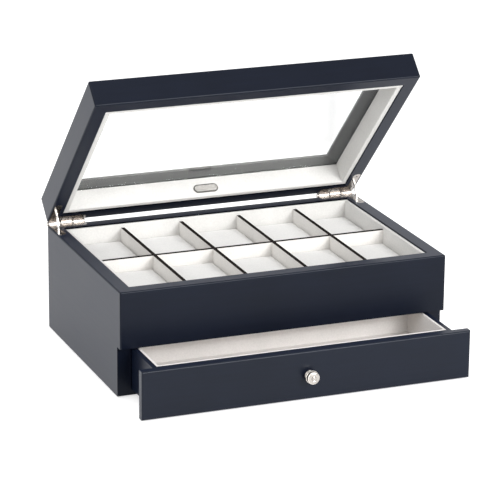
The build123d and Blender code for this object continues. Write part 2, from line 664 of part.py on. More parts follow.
with BuildPart() as drawer_end_linings:
    lined = BOX_INNER - DRAWER_LINING
    add(board(lined, LINING_FRONT_Y, LINING_FRONT_Y + DRAWER_LINING, DRAWER_FLOOR, BOX_TOP))
    add(board(lined, LINING_BACK_Y - DRAWER_LINING, LINING_BACK_Y, DRAWER_FLOOR, BOX_TOP))
    fillet(drawer_end_linings.edges().group_by(Axis.Z)[-1].filter_by(Axis.X), BOX_EASE)
save(drawer_end_linings.part, "drawer_end_linings")

with BuildPart() as drawer_partition:
    half = PARTITION_THICK / 2
    add(board(lined, PARTITION_Y - half, PARTITION_Y + half, DRAWER_FLOOR, BOX_TOP - PARTITION_DROP))
    fillet(drawer_partition.edges().group_by(Axis.Z)[-1].filter_by(Axis.X), BOX_EASE)
save(drawer_partition.part, "drawer_partition")

# Turned knob: foot, neck, collar, groove and a head with a bevelled face.
with BuildPart() as knob:
    with BuildSketch(Plane.YZ):
        with BuildLine():
            outline = [
                (0, 0),
                (0, KNOB_FOOT_RADIUS),
                (KNOB_FOOT, KNOB_FOOT_RADIUS),
                (KNOB_NECK_START, KNOB_NECK_RADIUS),
                (KNOB_NECK_END, KNOB_NECK_RADIUS),
                (KNOB_COLLAR_START, KNOB_COLLAR_RADIUS),
                (KNOB_COLLAR_END, KNOB_COLLAR_RADIUS),
                (KNOB_COLLAR_END, KNOB_GROOVE_RADIUS),
                (KNOB_HEAD_START, KNOB_GROOVE_RADIUS),
                (KNOB_HEAD_START, KNOB_HEAD_RADIUS),
                (KNOB_FACE - KNOB_DOME, KNOB_HEAD_RADIUS),
                (KNOB_FACE, KNOB_FACE_RADIUS),
                (KNOB_FACE, 0),
            ]
            points = [(FACE_Y - out, KNOB_HEIGHT + radius) for out, radius in outline]
            Polyline(*points, close=True)
        make_face()
    revolve(axis=Axis((0, FACE_Y, KNOB_HEIGHT), (0, 1, 0)))
    with BuildSketch(Plane.XZ.offset(-FACE_Y)):
        with Locations((0, KNOB_HEIGHT)):
            RegularPolygon(KNOB_SCREW_RADIUS, SCREW_SIDES)
    extrude(amount=KNOB_SCREW_BITE, mode=Mode.SUBTRACT)
save(knob.part, "knob")

with BuildPart() as knob_screw:
    with BuildSketch(Plane.XZ.offset(-LINING_FRONT_Y)):
        with Locations((0, KNOB_HEIGHT)):
            RegularPolygon(KNOB_SCREW_HEAD_RADIUS, SCREW_SIDES)
    extrude(amount=KNOB_SCREW_HEAD)
    with BuildSketch(Plane.XZ.offset(-LINING_FRONT_Y)):
        with Locations((0, KNOB_HEIGHT)):
            RegularPolygon(KNOB_SCREW_RADIUS, SCREW_SIDES)
    extrude(amount=BOX_END + FRONT_THICK + KNOB_SCREW_BITE)
save(knob_screw.part, "knob_screw")
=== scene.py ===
import json
import logging
import math
from dataclasses import dataclass, field
from enum import Enum
from typing import ClassVar, Union

import bmesh
import bpy
from mathutils import Matrix, Vector, noise


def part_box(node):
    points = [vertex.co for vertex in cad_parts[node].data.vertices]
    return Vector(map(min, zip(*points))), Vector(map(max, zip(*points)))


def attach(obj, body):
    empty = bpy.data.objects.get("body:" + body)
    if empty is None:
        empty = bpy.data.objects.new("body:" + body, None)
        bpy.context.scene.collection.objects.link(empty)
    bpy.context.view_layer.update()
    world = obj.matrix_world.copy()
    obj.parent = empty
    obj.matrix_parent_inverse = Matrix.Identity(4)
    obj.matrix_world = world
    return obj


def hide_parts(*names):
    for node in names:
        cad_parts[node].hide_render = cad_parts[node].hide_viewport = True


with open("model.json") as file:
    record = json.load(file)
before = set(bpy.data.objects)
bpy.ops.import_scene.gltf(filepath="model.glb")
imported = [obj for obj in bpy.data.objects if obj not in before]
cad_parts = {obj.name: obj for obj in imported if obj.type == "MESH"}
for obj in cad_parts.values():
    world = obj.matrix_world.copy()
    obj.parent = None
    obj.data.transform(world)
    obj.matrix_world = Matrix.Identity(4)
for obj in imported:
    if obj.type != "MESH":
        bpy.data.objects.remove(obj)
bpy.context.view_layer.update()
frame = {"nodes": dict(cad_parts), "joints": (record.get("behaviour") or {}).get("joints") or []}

# Watch box with a drawer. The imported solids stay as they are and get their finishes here.
# The cushions, the hinge screws and the turned knob are made again in finer form.
# Everything is in metres, with +Z up and the drawer's face towards -Y.

MM = 0.001
Number = Union[float, "Value"]
Triple = tuple[float, float, float]
Colour = Triple
log = logging.getLogger("watch_box")


class Grain(Enum):
    """The way that a painted board's grain runs, as factors that draw a pattern out."""

    ALONG_X = (0.04, 1.0, 1.0)
    ALONG_Y = (1.0, 0.04, 1.0)
    UP_THE_LID = (1.0, 0.06, 0.06)


class Value:
    """One output of a shader node, on which Python's operators write Math nodes."""

    def __init__(self, tree: "FinishTree", output: bpy.types.NodeSocket) -> None:
        """Wrap an output.

        Args:
            tree: the finish's tree that the output belongs to.
            output: the node's output socket.
        """
        self.tree = tree
        self.output = output

    def _math(self, operation: str, first: Number, second: Number = 0.0) -> "Value":
        """Write one Math node and return its value."""
        return self.tree.node("ShaderNodeMath", {"operation": operation}, {0: first, 1: second})

    def __add__(self, other: Number) -> "Value":
        """Add another value."""
        return self._math("ADD", self, other)

    __radd__ = __add__

    def __sub__(self, other: Number) -> "Value":
        """Take another value away."""
        return self._math("SUBTRACT", self, other)

    def __rsub__(self, other: Number) -> "Value":
        """Take this value away from a number."""
        return self._math("SUBTRACT", other, self)

    def __mul__(self, other: Number) -> "Value":
        """Multiply by another value."""
        return self._math("MULTIPLY", self, other)

    __rmul__ = __mul__

    def __pow__(self, other: Number) -> "Value":
        """Raise to a power."""
        return self._math("POWER", self, other)

    def __abs__(self) -> "Value":
        """Drop the sign."""
        return self._math("ABSOLUTE", self)

    def sine(self) -> "Value":
        """Return the sine of this value, in radians."""
        return self._math("SINE", self)

    def least(self, other: Number) -> "Value":
        """Return the lower of two values."""
        return self._math("MINIMUM", self, other)

    def rise(self, low: float, high: float) -> "Value":
        """Climb smoothly from 0 at one value to 1 at another.

        Args:
            low: where the climb starts.
            high: where it ends.

        Returns:
            The smoothed step.
        """
        settings = {"interpolation_type": "SMOOTHSTEP"}
        return self.tree.node("ShaderNodeMapRange", settings, {0: self, 1: low, 2: high})

    def part(self, name: str) -> "Value":
        """Return another output of the same node, by its name."""
        return Value(self.tree, self.output.node.outputs[name])


class FinishTree:
    """The node tree of one material, with one Principled shader at its end."""

    def __init__(self, name: str) -> None:
        """Start an empty tree.

        Args:
            name: the material's name.
        """
        self.material = bpy.data.materials.new(name)
        self.material.use_nodes = True
        self.tree = self.material.node_tree
        self.tree.nodes.clear()
        self.shader = self.tree.nodes.new("ShaderNodeBsdfPrincipled")
        self.surface = self.tree.nodes.new("ShaderNodeOutputMaterial")
        self.tree.links.new(self.shader.outputs[0], self.surface.inputs["Surface"])

    def node(self, kind: str, settings: dict, inputs: dict) -> Value:
        """Make any node of the tree.

        Args:
            kind: the node's type, as Blender names it.
            settings: attributes that are set first.
            inputs: values or wrapped outputs by socket index, identifier or name.

        Returns:
            The node's first enabled output.
        """
        made = self.tree.nodes.new(kind)
        for name, value in settings.items():
            setattr(made, name, value)
        for key, value in inputs.items():
            self.feed(self.socket(made, key), value)
        outputs = [output for output in made.outputs if output.enabled]
        return Value(self, outputs[0])

    @staticmethod
    def socket(node: bpy.types.Node, key: Union[int, str]) -> bpy.types.NodeSocket:
        """Find an input by its index, its identifier or its name."""
        if isinstance(key, int):
            return node.inputs[key]
        named = [entry for entry in node.inputs if entry.identifier == key]
        return named[0] if named else node.inputs[key]

    def feed(self, socket: bpy.types.NodeSocket, value: object) -> None:
        """Link a wrapped output to a socket, or set the socket's own value."""
        if isinstance(value, Value):
            self.tree.links.new(value.output, socket)
        else:
            socket.default_value = value

    def place(self, scale: Triple = (1.0, 1.0, 1.0)) -> Value:
        """Return the place on the piece, in metres from the origin.

        Args:
            scale: factors for each axis, below 1 to draw a pattern out.

        Returns:
            The mapped Object coordinates.
        """
        coordinates = self.node("ShaderNodeTexCoord", {}, {}).part("Object")
        return self.node("ShaderNodeMapping", {}, {"Vector": coordinates, "Scale": scale})

    def parts(self) -> Value:
        """Return the place taken apart, whose parts are X, Y and Z."""
        return self.node("ShaderNodeSeparateXYZ", {}, {0: self.place()})

    def noise(
        self, per_metre: float, detail: float = 2.0, place: Union[Value, None] = None
    ) -> Value:
        """Return soft noise between 0 and 1.

        Args:
            per_metre: how many blots lie along a metre.
            detail: octaves of finer noise.
            place: the coordinates that it reads.

        Returns:
            The noise value.
        """
        inputs = {"Vector": place or self.place(), "Scale": per_metre, "Detail": detail}
        return self.node("ShaderNodeTexNoise", {}, inputs)

    def blend(self, factor: Number, first: object, second: object) -> Value:
        """Mix two colours by a factor."""
        inputs = {"Factor_Float": factor, "A_Color": first, "B_Color": second}
        return self.node("ShaderNodeMix", {"data_type": "RGBA"}, inputs)

    def bump(self, height: Value, depth: float, strength: float) -> Value:
        """Turn a height into a normal.

        Args:
            height: the pattern, from 0 to 1.
            depth: the depth of the pattern in metres.
            strength: how much of it shows.

        Returns:
            The bumped normal.
        """
        inputs = {"Height": height, "Distance": depth, "Strength": strength}
        return self.node("ShaderNodeBump", {}, inputs)

    def set(self, **values: object) -> None:
        """Set the Principled shader's sockets, named with underscores for spaces."""
        for name, value in values.items():
            self.feed(self.shader.inputs[name.replace("_", " ")], value)


def rgba(colour: Colour, factor: float = 1.0) -> tuple[float, float, float, float]:
    """Return a colour with its alpha, made lighter or darker by a factor."""
    red, green, blue = (channel * factor for channel in colour)
    return (red, green, blue, 1.0)


@dataclass(frozen=True)
class Finish:
    """A surface finish that is made once and shared by the pieces that have it."""

    name: str
    made: ClassVar[dict[str, bpy.types.Material]] = {}

    def material(self) -> bpy.types.Material:
        """Return the finish's material, and make it at the first call."""
        if self.name not in self.made:
            tree = FinishTree(self.name)
            self.paint(tree)
            self.made[self.name] = tree.material
        return self.made[self.name]

    def paint(self, tree: FinishTree) -> None:
        """Write the finish into its tree."""
        raise NotImplementedError

    def dress(self, piece: bpy.types.Object) -> None:
        """Give a piece this finish in place of what it has."""
        piece.data.materials.clear()
        piece.data.materials.append(self.material())


@dataclass(frozen=True)
class SatinPaint(Finish):
    """Sprayed satin paint over close wood: orange peel, and a trace of the grain."""

    colour: Colour = (0.0034, 0.0050, 0.0112)
    tint: Colour = (0.88, 0.93, 1.0)
    bloom: Colour = (0.25, 0.42, 1.0)
    bloom_weight: float = 0.06
    bloom_roughness: float = 0.4
    grain: Grain = Grain.ALONG_X
    roughness: float = 0.27
    gloss: float = 0.17
    peel_depth: float = 0.05 * MM
    peel_strength: float = 0.35

    def paint(self, tree: FinishTree) -> None:
        """Write the paint's colour, bloom and skin."""
        clouds = tree.noise(14.0)
        streaks = tree.noise(420.0, 3.0, tree.place(self.grain.value))
        peel = tree.noise(950.0, 1.0)
        dust = tree.noise(5200.0, 1.0).rise(0.70, 0.78)
        depth = (0.65 * clouds + 0.35 * streaks).rise(0.25, 0.75)
        tree.set(
            Base_Color=tree.blend(depth, rgba(self.colour, 0.82), rgba(self.colour, 1.22)),
            Roughness=self.roughness + 0.05 * clouds + 0.04 * streaks + 0.05 * dust,
            Specular_IOR_Level=self.gloss,
            Specular_Tint=rgba(self.tint),
            Sheen_Weight=self.bloom_weight,
            Sheen_Roughness=self.bloom_roughness,
            Sheen_Tint=rgba(self.bloom),
            Normal=tree.bump(
                0.55 * peel + 0.45 * streaks, self.peel_depth, self.peel_strength
            ),
        )


@dataclass(frozen=True)
class Suede(Finish):
    """Brushed suede cloth: a fine nap with soft strokes where it has been stroked down."""

    colour: Colour = (0.715, 0.705, 0.685)
    depth: float = 0.12 * MM
    nap_strength: float = 0.7
    fuzz: float = 0.25
    fuzz_roughness: float = 0.45

    def cloth(self, tree: FinishTree) -> tuple[Value, Value]:
        """Return the cloth's colour and the height of its nap."""
        nap = tree.noise(2600.0, 2.0)
        tufts = tree.noise(620.0, 3.0)
        strokes = tree.noise(34.0, 2.0, tree.place((1.0, 0.45, 0.8)))
        shade = (0.45 * nap + 0.35 * tufts + 0.35 * strokes).rise(0.30, 0.86)
        colour = tree.blend(shade, rgba(self.colour, 0.87), rgba(self.colour, 1.07))
        return colour, 0.6 * nap + 0.4 * tufts

    def paint(self, tree: FinishTree) -> None:
        """Write the cloth."""
        colour, height = self.cloth(tree)
        tree.set(
            Base_Color=colour,
            Roughness=0.86 + 0.12 * height,
            Sheen_Weight=self.fuzz,
            Sheen_Roughness=self.fuzz_roughness,
            Normal=tree.bump(height, self.depth, self.nap_strength),
        )


@dataclass(frozen=True)
class DividerCloth(Suede):
    """Suede on both faces of a divider, round a dark core that shows along its top."""

    colour: Colour = (0.78, 0.762, 0.735)
    core: Colour = (0.007, 0.0045, 0.004)
    top: float = 0.0
    core_depth: float = 0.35 * MM
    gloss: float = 0.1

    def paint(self, tree: FinishTree) -> None:
        """Write the cloth and the core's dark top edge."""
        colour, height = self.cloth(tree)
        edge = tree.parts().part("Z").rise(
            self.top - self.core_depth, self.top - 0.8 * self.core_depth
        )
        fibres = tree.noise(900.0, 2.0)
        dark = tree.blend(fibres, rgba(self.core, 0.7), rgba(self.core, 1.6))
        tree.set(
            Base_Color=tree.blend(edge, colour, dark),
            Specular_IOR_Level=self.gloss,
            Roughness=0.88 - 0.15 * edge + 0.1 * height,
            Normal=tree.bump(height, self.depth, self.nap_strength),
        )


@dataclass(frozen=True)
class PlatedMetal(Finish):
    """Bright plate with faint rubbing marks and cloudy patches, and painted shade in the gaps
    between knuckles where seams are given.
    """

    colour: Colour = (0.42, 0.39, 0.365)
    roughness: float = 0.15
    seams: tuple[float, ...] = ()
    seam_half: float = 0.55 * MM
    rubbed_along: Triple = (0.12, 1.0, 1.0)
    rub_depth: float = 0.02 * MM
    rub_strength: float = 0.5

    def paint(self, tree: FinishTree) -> None:
        """Write the plate, with painted shade where two knuckles meet."""
        clouds = tree.noise(160.0, 3.0)
        rubs = tree.noise(2400.0, 2.0, tree.place(self.rubbed_along))
        colour = tree.blend(clouds, rgba(self.colour, 0.85), rgba(self.colour, 1.08))
        if self.seams:
            across = abs(tree.parts().part("X"))
            nearest = abs(across - self.seams[0])
            for seam in self.seams[1:]:
                nearest = nearest.least(abs(across - seam))
            # Painted shade: the colour goes nearly black near each gap between knuckles, where
            # shadow falls.
            knuckle_gap_shade = 1 - nearest.rise(0.5 * self.seam_half, 1.5 * self.seam_half)
            colour = tree.blend(knuckle_gap_shade, colour, rgba(self.colour, 0.08))
        tree.set(
            Base_Color=colour,
            Metallic=1.0,
            Roughness=self.roughness + 0.10 * clouds + 0.08 * rubs,
            Normal=tree.bump(rubs, self.rub_depth, self.rub_strength),
        )


@dataclass(frozen=True)
class TurnedMetal(Finish):
    """Metal faced off in a lathe, with fine rings about an axis along Y and a painted highlight
    towards the rim.
    """

    colour: Colour = (0.47, 0.44, 0.41)
    centre_x: float = 0.0
    centre_z: float = 0.0
    highlight_from: float = 4.8 * MM
    highlight_width: float = 0.8 * MM
    pitch: float = 0.16 * MM
    ring_depth: float = 0.012 * MM
    ring_strength: float = 0.6
    roughness: float = 0.20

    def paint(self, tree: FinishTree) -> None:
        """Write the rings by the distance from the lathe's axis, with a painted highlight at the
        rim.
        """
        parts = tree.parts()
        across = parts.part("X") - self.centre_x
        up = parts.part("Z") - self.centre_z
        radius = (across * across + up * up) ** 0.5
        wander = tree.noise(900.0, 2.0)
        rings = (radius * (2 * math.pi / self.pitch) + 2.5 * wander).sine() * 0.5 + 0.5
        turned = tree.blend(rings, rgba(self.colour, 0.86), rgba(self.colour, 1.06))
        # Painted highlight: beyond a radius the colour is made much lighter, standing in for the
        # bright reflection on the collar and the head's edge.
        rim_highlight = radius.rise(self.highlight_from, self.highlight_from + self.highlight_width)
        tree.set(
            Base_Color=tree.blend(rim_highlight, turned, rgba(self.colour, 1.75)),
            Metallic=1.0,
            Roughness=self.roughness + 0.10 * rings,
            Normal=tree.bump(rings, self.ring_depth, self.ring_strength),
        )


@dataclass(frozen=True)
class BrushedPlate(Finish):
    """A round-ended plate brushed along X, with a blackened line inside its edge."""

    colour: Colour = (0.19, 0.182, 0.172)
    roughness: float = 0.30
    centre: Triple = (0.0, 0.0, 0.0)
    tilt: float = 0.0
    half_straight: float = 8.0 * MM
    line: float = 3.75 * MM
    line_half: float = 0.5 * MM
    brushed_along: Triple = (0.02, 1.0, 1.0)
    mark_depth: float = 0.02 * MM
    mark_strength: float = 0.6

    def paint(self, tree: FinishTree) -> None:
        """Write the brush marks, and the line by its distance from the plate's middle."""
        marks = tree.noise(5200.0, 3.0, tree.place(self.brushed_along))
        brushed = tree.blend(marks, rgba(self.colour, 0.78), rgba(self.colour, 1.15))
        parts = tree.parts()
        beyond = abs(parts.part("X") - self.centre[0]) - self.half_straight
        beyond = beyond - beyond.least(0.0)
        across = (parts.part("Y") - self.centre[1]) * math.sin(self.tilt)
        across = across + (parts.part("Z") - self.centre[2]) * math.cos(self.tilt)
        reach = (beyond * beyond + across * across) ** 0.5
        blackened = 1 - abs(reach - self.line).rise(0.6 * self.line_half, self.line_half)
        tree.set(
            Base_Color=tree.blend(blackened, brushed, rgba(self.colour, 0.12)),
            Metallic=1.0,
            Roughness=self.roughness + 0.12 * marks,
            Normal=tree.bump(marks, self.mark_depth, self.mark_strength),
        )


@dataclass(frozen=True)
class ClearGlass(Finish):
    """Thin clear glass: each face is a faint mirror, strongest at a low angle."""

    colour: Colour = (0.94, 0.96, 0.95)
    straight: float = 0.06
    glancing: float = 2.7
    facing_blend: float = 0.5

    def paint(self, tree: FinishTree) -> None:
        """Write the glass as a mirror that is mostly seen through."""
        weight = tree.node("ShaderNodeLayerWeight", {}, {"Blend": self.facing_blend})
        slant = weight.part("Facing")
        smears = tree.noise(30.0, 2.0)
        tree.set(
            Base_Color=tree.blend(smears, rgba(self.colour, 0.98), rgba(self.colour, 1.02)),
            Metallic=1.0,
            Roughness=0.16 + 0.04 * smears,
            Alpha=(self.straight + self.glancing * slant ** 5).least(1.0),
        )


@dataclass(frozen=True)
class BareBoard(Finish):
    """Unpainted thin board, with grain along X."""

    light: Colour = (0.55, 0.42, 0.27)
    dark: Colour = (0.36, 0.25, 0.14)
    pore_depth: float = 0.08 * MM
    pore_strength: float = 0.5

    def paint(self, tree: FinishTree) -> None:
        """Write the board's grain."""
        bands = tree.noise(60.0, 4.0, tree.place((0.05, 1.0, 1.0)))
        pores = tree.noise(1500.0, 2.0, tree.place((0.06, 1.0, 1.0)))
        tree.set(
            Base_Color=tree.blend(bands.rise(0.3, 0.7), rgba(self.dark), rgba(self.light)),
            Roughness=0.55 + 0.2 * pores,
            Normal=tree.bump(pores, self.pore_depth, self.pore_strength),
        )


@dataclass(frozen=True)
class Felt(Finish):
    """Thick dark felt of matted fibres."""

    colour: Colour = (0.018, 0.018, 0.019)
    fuzz: float = 0.3
    mat_depth: float = 0.3 * MM
    mat_strength: float = 0.8

    def paint(self, tree: FinishTree) -> None:
        """Write the felt."""
        mat = tree.noise(1100.0, 5.0)
        tree.set(
            Base_Color=tree.blend(mat, rgba(self.colour, 0.5), rgba(self.colour, 2.0)),
            Roughness=0.90 + 0.08 * mat,
            Sheen_Weight=self.fuzz,
            Normal=tree.bump(mat, self.mat_depth, self.mat_strength),
        )


PAINT_X = SatinPaint("satin_paint_along")
PAINT_Y = SatinPaint("satin_paint_across", grain=Grain.ALONG_Y)
PAINT_LID = SatinPaint("satin_paint_lid_side", grain=Grain.UP_THE_LID)
# Painted shade: a darker copy of the same paint, with less gloss, for the case's back panel and
# the lid's back rail.
PAINT_BACK_SHADED = SatinPaint("satin_paint_back_shaded", colour=(0.0016, 0.0021, 0.0042), gloss=0.04)
# Painted light: a lighter, glossier copy of the same paint, for the drawer's front.
PAINT_DRAWER_LIT = SatinPaint("satin_paint_drawer_lit", colour=(0.0040, 0.0058, 0.0124), gloss=0.23)
SUEDE = Suede("suede_lining")
CUSHION_SUEDE = Suede("cushion_suede", colour=(0.770, 0.762, 0.748), depth=0.14 * MM)
DRAWER_SUEDE = Suede("drawer_suede", colour=(0.77, 0.742, 0.72))
NICKEL = PlatedMetal("nickel_plate")
# The knuckles' plate has painted shade at each gap between two knuckles.
KNUCKLES = PlatedMetal(
    "nickel_knuckles", seams=(121.0 * MM, 133.17 * MM, 145.33 * MM, 157.5 * MM)
)
POLISHED = PlatedMetal("polished_arm", colour=(0.86, 0.84, 0.81), roughness=0.12)
STEEL_PIN = PlatedMetal("pin_steel", colour=(0.60, 0.57, 0.54), roughness=0.28)
GLASS = ClearGlass("clear_glass")
BOARD = BareBoard("bare_board")
FELT = Felt("base_felt_cloth")


@dataclass(frozen=True)
class LidHinge:
    """The lid's hinge line, and how far the lid stands open at rest."""

    pivot: Vector
    opened: float

    @classmethod
    def of_frame(cls) -> "LidHinge":
        """Read the hinge from the frame's joints."""
        joint = next(entry for entry in frame["joints"] if entry["name"] == "lid_hinge")
        return cls(Vector(joint["pos_m"]), math.radians(-joint["range_deg"][0]))

    def turn(self) -> Matrix:
        """Return the turn that brings the closed lid to where it stands."""
        about_x = Matrix.Rotation(-self.opened, 4, "X")
        return Matrix.Translation(self.pivot) @ about_x @ Matrix.Translation(-self.pivot)


HINGE = LidHinge.of_frame()


@dataclass
class Assembly:
    """A group of pieces that ride on one body."""

    body: str
    finishes: dict[str, Finish] = field(default_factory=dict)

    def dress(self) -> None:
        """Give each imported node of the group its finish."""
        for node, finish in self.finishes.items():
            finish.dress(frame["nodes"][node])
            log.info("%s: %s on %s", self.body, finish.name, node)

    def build(self) -> list[bpy.types.Object]:
        """Make the group's own pieces.

        Returns:
            The new objects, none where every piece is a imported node.
        """
        return []


def link_mesh(name: str, mesh: bpy.types.Mesh) -> bpy.types.Object:
    """Put a mesh into the scene as an object at the origin."""
    piece = bpy.data.objects.new(name, mesh)
    bpy.context.scene.collection.objects.link(piece)
    return piece


def math_node(
    tree: bpy.types.NodeTree, operation: str, *inputs: object
) -> bpy.types.NodeSocket:
    """Write one Math node.

    Args:
        tree: the tree that the node goes into.
        operation: the node's operation, as Blender names it.
        inputs: numbers and sockets, in the order of the node's inputs.

    Returns:
        The node's output.
    """
    node = tree.nodes.new("ShaderNodeMath")
    node.operation = operation
    for socket, value in zip(node.inputs, inputs):
        if isinstance(value, bpy.types.NodeSocket):
            tree.links.new(value, socket)
        else:
            socket.default_value = value
    return node.outputs[0]


def plain_mesh(piece: bpy.types.Object) -> None:
    """Replace a piece's mesh by its evaluated one, and drop its modifiers."""
    graph = bpy.context.evaluated_depsgraph_get()
    result = bpy.data.meshes.new_from_object(piece.evaluated_get(graph))
    piece.modifiers.clear()
    piece.data = result


def smooth(piece: bpy.types.Object, degrees: float) -> None:
    """Shade a piece smooth, and keep the edges sharper than an angle."""
    mesh = piece.data
    mesh.shade_smooth()
    with_edges = bmesh.new()
    with_edges.from_mesh(mesh)
    for edge in with_edges.edges:
        edge.smooth = edge.calc_face_angle(math.pi) < math.radians(degrees)
    with_edges.to_mesh(mesh)
    with_edges.free()


@dataclass
class Case(Assembly):
    """The case with its linings, floor, base and dividers."""

    body: str = "case"
    dividers: tuple[str, ...] = tuple(f"long_divider_{number}" for number in range(1, 5))

    def __post_init__(self) -> None:
        """Settle the finish of each node."""
        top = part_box("cross_divider")[1].z
        divider = DividerCloth("divider_cloth", top=top)
        for node in ("front_panel", "base_panel"):
            self.finishes[node] = PAINT_X
        # The back panel takes the darker copy of the paint, which is painted shade.
        self.finishes["back_panel"] = PAINT_BACK_SHADED
        for side in ("left", "right"):
            self.finishes[f"side_panel_{side}"] = PAINT_Y
            self.finishes[f"case_leaf_{side}"] = KNUCKLES
            self.finishes[f"hinge_pin_{side}"] = STEEL_PIN
        for side in ("front", "back", "left", "right"):
            self.finishes[f"case_lining_{side}"] = SUEDE
        for node in (*self.dividers, "cross_divider"):
            self.finishes[node] = divider
        self.finishes["compartment_lining"] = SUEDE
        self.finishes["compartment_floor"] = BOARD
        self.finishes["base_felt"] = FELT


@dataclass
class Lid(Assembly):
    """The lid's frame with its glass, linings, plaque and leaves."""

    body: str = "lid"

    def __post_init__(self) -> None:
        """Settle the finish of each node."""
        self.finishes["lid_rail_front"] = PAINT_X
        # The back rail takes the darker copy of the paint, which is painted shade.
        self.finishes["lid_rail_back"] = PAINT_BACK_SHADED
        for side in ("left", "right"):
            self.finishes[f"lid_rail_{side}"] = PAINT_LID
            self.finishes[f"lid_leaf_{side}"] = KNUCKLES
        for side in ("front", "back", "left", "right"):
            self.finishes[f"lid_lining_{side}"] = SUEDE
        self.finishes["lid_glass"] = GLASS
        low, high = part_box("plaque")
        middle = tuple((low + high) / 2)
        self.finishes["plaque"] = BrushedPlate("brushed_plaque", centre=middle, tilt=HINGE.opened)


@dataclass
class StayArm(Assembly):
    """One stay arm of the hinges."""

    def __post_init__(self) -> None:
        """Settle the arm's finish."""
        self.finishes[self.body] = POLISHED


@dataclass
class Drawer(Assembly):
    """The drawer with its box, linings, partition and knob."""

    body: str = "drawer"

    def __post_init__(self) -> None:
        """Settle the finish of each node."""
        # The drawer front takes the lighter copy of the paint, which is painted light.
        self.finishes["drawer_front"] = PAINT_DRAWER_LIT
        for node in ("drawer_box_front", "drawer_box_back"):
            self.finishes[node] = PAINT_X
        for side in ("left", "right"):
            self.finishes[f"drawer_side_{side}"] = PAINT_Y
        for node in ("floor_lining", "side_linings", "end_linings", "partition"):
            self.finishes[f"drawer_{node}"] = DRAWER_SUEDE
        self.finishes["drawer_bottom"] = BOARD
        self.finishes["knob_screw"] = STEEL_PIN

    def build(self) -> list[bpy.types.Object]:
        """Turn the knob.

        Returns:
            The knob alone.
        """
        return [TurnedKnob.of_frame().build()]


@dataclass
class TurnedKnob:
    """The drawer's knob as a lathe leaves it, in the place of its plain solid."""

    centre_x: float
    centre_z: float
    face_y: float
    root_y: float
    steps: int = 96
    foot: float = 4.8 * MM
    neck: float = 2.9 * MM
    collar: float = 6.1 * MM
    groove: float = 4.1 * MM
    head: float = 5.8 * MM
    dome: float = 1.5 * MM
    dome_sweep: float = 80.0
    dome_steps: int = 8
    boss: float = 2.1 * MM
    boss_rise: float = 0.55 * MM
    boss_moat: float = 0.35 * MM
    boss_taper: float = 0.93
    boss_steps: int = 6
    sharp: float = 32.0
    weld: float = 0.002 * MM

    @classmethod
    def of_frame(cls) -> "TurnedKnob":
        """Read the knob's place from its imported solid."""
        low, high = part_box("knob")
        return cls((low.x + high.x) / 2, (low.z + high.z) / 2, low.y, high.y)

    def outline(self) -> list[tuple[float, float]]:
        """Return the half profile as pairs of height over the drawer's face and radius."""
        length = self.root_y - self.face_y
        face = length - self.boss_rise
        points = [
            # The foot, and the sweep down to the neck.
            (0.0, 0.0),
            (0.0, self.foot),
            (0.9 * MM, self.foot),
            (1.2 * MM, self.foot - 0.3 * MM),
            (1.8 * MM, self.neck + 0.3 * MM),
            (2.1 * MM, self.neck),
            (3.2 * MM, self.neck),
            # The collar.
            (3.6 * MM, self.neck + 0.5 * MM),
            (4.5 * MM, self.collar - 0.5 * MM),
            (4.9 * MM, self.collar),
            (6.1 * MM, self.collar),
            (6.4 * MM, self.collar - 0.3 * MM),
            # The groove that parts it from the head.
            (6.4 * MM, self.groove + 0.15 * MM),
            (6.55 * MM, self.groove),
            (7.25 * MM, self.groove),
            (7.4 * MM, self.groove + 0.15 * MM),
            # The head.
            (7.4 * MM, self.head - 0.25 * MM),
            (7.65 * MM, self.head),
            (face - self.dome - 0.3 * MM, self.head),
        ]
        # The face is a low dome, with a groove round the small boss at its middle.
        for step in range(self.dome_steps + 1):
            angle = math.radians(self.dome_sweep * step / self.dome_steps)
            out = face - self.dome * (1 - math.sin(angle))
            points.append((out, self.boss + (self.head - self.boss) * math.cos(angle)))
        points.append((face - self.boss_moat, self.boss))
        for step in range(self.boss_steps + 1):
            angle = math.radians(90 * step / self.boss_steps)
            out = length - self.boss_rise * (1 - math.sin(angle))
            points.append((out, self.boss_taper * self.boss * math.cos(angle)))
        return points

    def build(self) -> bpy.types.Object:
        """Spin the outline about the knob's axis.

        Returns:
            The knob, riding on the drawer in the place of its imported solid.
        """
        form = bmesh.new()
        profile = [
            form.verts.new((self.centre_x, self.root_y - out, self.centre_z + radius))
            for out, radius in self.outline()
        ]
        lines = [form.edges.new(pair) for pair in zip(profile, profile[1:])]
        centre = Vector((self.centre_x, 0, self.centre_z))
        bmesh.ops.spin(
            form, geom=[*profile, *lines], cent=centre, axis=(0, 1, 0), angle=2 * math.pi,
            steps=self.steps, use_merge=True,
        )
        bmesh.ops.remove_doubles(form, verts=form.verts, dist=self.weld)
        bmesh.ops.recalc_face_normals(form, faces=form.faces)
        mesh = bpy.data.meshes.new("turned_knob")
        form.to_mesh(mesh)
        form.free()
        knob = link_mesh("turned_knob", mesh)
        smooth(knob, self.sharp)
        finish = TurnedMetal("turned_nickel", centre_x=self.centre_x, centre_z=self.centre_z)
        finish.dress(knob)
        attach(knob, "drawer")
        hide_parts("knob")
        return knob


